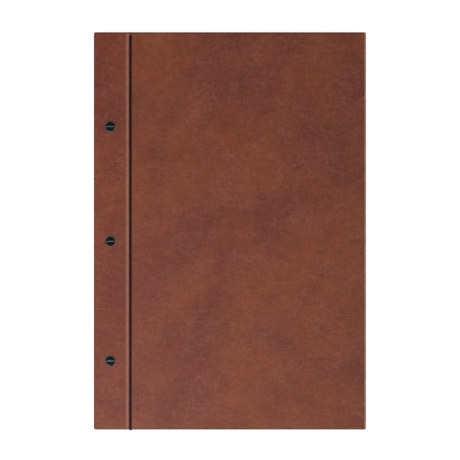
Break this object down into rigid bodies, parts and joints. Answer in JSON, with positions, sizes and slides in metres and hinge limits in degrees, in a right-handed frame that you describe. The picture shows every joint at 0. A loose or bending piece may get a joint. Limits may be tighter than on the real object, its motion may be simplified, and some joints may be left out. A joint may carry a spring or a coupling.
{
  "type": "post-bound scrapbook album",
  "caption": "Tall leather-covered scrapbook album with hinged covers, scored card leaves and slotted screw posts through a narrow binding strip.",
  "frame": {"origin": "middle of the closed album's outline, on the surface that it lies on", "axes": "+X from the spine edge to the fore edge, +Y to the head, +Z out of the front cover"},
  "size_m": [0.2506, 0.366, 0.0225],
  "materials": {
    "leather": "satin",
    "board": "matte",
    "infill": "matte",
    "lining": "matte",
    "hinge_cloth": "matte",
    "card": "matte",
    "screw_metal": "satin"
  },
  "bodies": {
    "binding": {"front_strip_leather": "leather", "front_strip_board": "board", "front_strip_lining": "lining", "front_hinge_leather": "leather", "front_hinge_cloth": "hinge_cloth", "back_strip_leather": "leather", "back_strip_board": "board", "back_strip_lining": "lining", "back_hinge_leather": "leather", "back_hinge_cloth": "hinge_cloth", "stub_01": "card", "stub_02": "card", "stub_03": "card", "stub_04": "card", "stub_05": "card", "stub_06": "card", "stub_07": "card", "stub_08": "card", "stub_09": "card", "stub_10": "card", "stub_11": "card", "stub_12": "card", "spacer_strip": "card"},
    "front_cover": {"front_panel_leather": "leather", "front_panel_board": "board", "front_panel_infill": "infill", "front_panel_lining": "lining"},
    "back_cover": {"back_panel_leather": "leather", "back_panel_board": "board", "back_panel_infill": "infill", "back_panel_lining": "lining"},
    "leaf_01": {"leaf_01": "card"},
    "leaf_02": {"leaf_02": "card"},
    "leaf_03": {"leaf_03": "card"},
    "leaf_04": {"leaf_04": "card"},
    "leaf_05": {"leaf_05": "card"},
    "leaf_06": {"leaf_06": "card"},
    "leaf_07": {"leaf_07": "card"},
    "leaf_08": {"leaf_08": "card"},
    "leaf_09": {"leaf_09": "card"},
    "leaf_10": {"leaf_10": "card"},
    "leaf_11": {"leaf_11": "card"},
    "leaf_12": {"leaf_12": "card"},
    "screw_top": {"screw_top": "screw_metal"},
    "screw_middle": {"screw_middle": "screw_metal"},
    "screw_bottom": {"screw_bottom": "screw_metal"},
    "post_top": {"post_top": "screw_metal"},
    "post_middle": {"post_middle": "screw_metal"},
    "post_bottom": {"post_bottom": "screw_metal"}
  },
  "joints": [
    {"name": "front_cover_fold", "type": "hinge", "parent": "binding", "child": "front_cover", "pos_m": [-0.09165, 0, 0.0215], "axis": [0, 1, 0], "range_deg": [-172, 0], "deforming": ["front_hinge_leather", "front_hinge_cloth"]},
    {"name": "back_cover_fold", "type": "hinge", "parent": "binding", "child": "back_cover", "pos_m": [-0.09165, 0, 0.001], "axis": [0, 1, 0], "range_deg": [0, 172], "deforming": ["back_hinge_leather", "back_hinge_cloth"]},
    {"name": "leaf_01_turn", "type": "hinge", "parent": "binding", "child": "leaf_01", "pos_m": [-0.08665, 0, 0.00575], "axis": [0, 1, 0], "range_deg": [-93, 0]},
    {"name": "leaf_02_turn", "type": "hinge", "parent": "binding", "child": "leaf_02", "pos_m": [-0.08665, 0, 0.00675], "axis": [0, 1, 0], "range_deg": [-93, 0]},
    {"name": "leaf_03_turn", "type": "hinge", "parent": "binding", "child": "leaf_03", "pos_m": [-0.08665, 0, 0.00775], "axis": [0, 1, 0], "range_deg": [-93, 0]},
    {"name": "leaf_04_turn", "type": "hinge", "parent": "binding", "child": "leaf_04", "pos_m": [-0.08665, 0, 0.00875], "axis": [0, 1, 0], "range_deg": [-93, 0]},
    {"name": "leaf_05_turn", "type": "hinge", "parent": "binding", "child": "leaf_05", "pos_m": [-0.08665, 0, 0.00975], "axis": [0, 1, 0], "range_deg": [-93, 0]},
    {"name": "leaf_06_turn", "type": "hinge", "parent": "binding", "child": "leaf_06", "pos_m": [-0.08665, 0, 0.01075], "axis": [0, 1, 0], "range_deg": [-93, 0]},
    {"name": "leaf_07_turn", "type": "hinge", "parent": "binding", "child": "leaf_07", "pos_m": [-0.08665, 0, 0.01175], "axis": [0, 1, 0], "range_deg": [-93, 0]},
    {"name": "leaf_08_turn", "type": "hinge", "parent": "binding", "child": "leaf_08", "pos_m": [-0.08665, 0, 0.01275], "axis": [0, 1, 0], "range_deg": [-93, 0]},
    {"name": "leaf_09_turn", "type": "hinge", "parent": "binding", "child": "leaf_09", "pos_m": [-0.08665, 0, 0.01375], "axis": [0, 1, 0], "range_deg": [-93, 0]},
    {"name": "leaf_10_turn", "type": "hinge", "parent": "binding", "child": "leaf_10", "pos_m": [-0.08665, 0, 0.01475], "axis": [0, 1, 0], "range_deg": [-93, 0]},
    {"name": "leaf_11_turn", "type": "hinge", "parent": "binding", "child": "leaf_11", "pos_m": [-0.08665, 0, 0.01575], "axis": [0, 1, 0], "range_deg": [-93, 0]},
    {"name": "leaf_12_turn", "type": "hinge", "parent": "binding", "child": "leaf_12", "pos_m": [-0.08665, 0, 0.01675], "axis": [0, 1, 0], "range_deg": [-93, 0]},
    {"name": "post_top_turn", "type": "hinge", "parent": "binding", "child": "post_top", "pos_m": [-0.10995, 0.0958, 0], "axis": [0, 0, -1], "range_deg": [0, 2160]},
    {"name": "screw_top_lift", "type": "slide", "parent": "binding", "child": "screw_top", "axis": [0, 0, 1], "range_m": [0, 0.0042]},
    {"name": "post_middle_turn", "type": "hinge", "parent": "binding", "child": "post_middle", "pos_m": [-0.10995, -0.0097, 0], "axis": [0, 0, -1], "range_deg": [0, 2160]},
    {"name": "screw_middle_lift", "type": "slide", "parent": "binding", "child": "screw_middle", "axis": [0, 0, 1], "range_m": [0, 0.0042]},
    {"name": "post_bottom_turn", "type": "hinge", "parent": "binding", "child": "post_bottom", "pos_m": [-0.10995, -0.1197, 0], "axis": [0, 0, -1], "range_deg": [0, 2160]},
    {"name": "screw_bottom_lift", "type": "slide", "parent": "binding", "child": "screw_bottom", "axis": [0, 0, 1], "range_m": [0, 0.0042]}
  ],
  "couplings": [
    {"joint": "leaf_01_turn", "follows": "front_cover_fold", "ratio": 0.032},
    {"joint": "leaf_02_turn", "follows": "front_cover_fold", "ratio": 0.064},
    {"joint": "leaf_03_turn", "follows": "front_cover_fold", "ratio": 0.096},
    {"joint": "leaf_04_turn", "follows": "front_cover_fold", "ratio": 0.128},
    {"joint": "leaf_05_turn", "follows": "front_cover_fold", "ratio": 0.16},
    {"joint": "leaf_06_turn", "follows": "front_cover_fold", "ratio": 0.192},
    {"joint": "leaf_07_turn", "follows": "front_cover_fold", "ratio": 0.224},
    {"joint": "leaf_08_turn", "follows": "front_cover_fold", "ratio": 0.256},
    {"joint": "leaf_09_turn", "follows": "front_cover_fold", "ratio": 0.288},
    {"joint": "leaf_10_turn", "follows": "front_cover_fold", "ratio": 0.32},
    {"joint": "leaf_11_turn", "follows": "front_cover_fold", "ratio": 0.352},
    {"joint": "leaf_12_turn", "follows": "front_cover_fold", "ratio": 0.54},
    {"joint": "post_top_turn", "follows": "screw_top_lift", "rad_per_m": 8976},
    {"joint": "post_middle_turn", "follows": "screw_middle_lift", "rad_per_m": 8976},
    {"joint": "post_bottom_turn", "follows": "screw_bottom_lift", "rad_per_m": 8976}
  ]
}
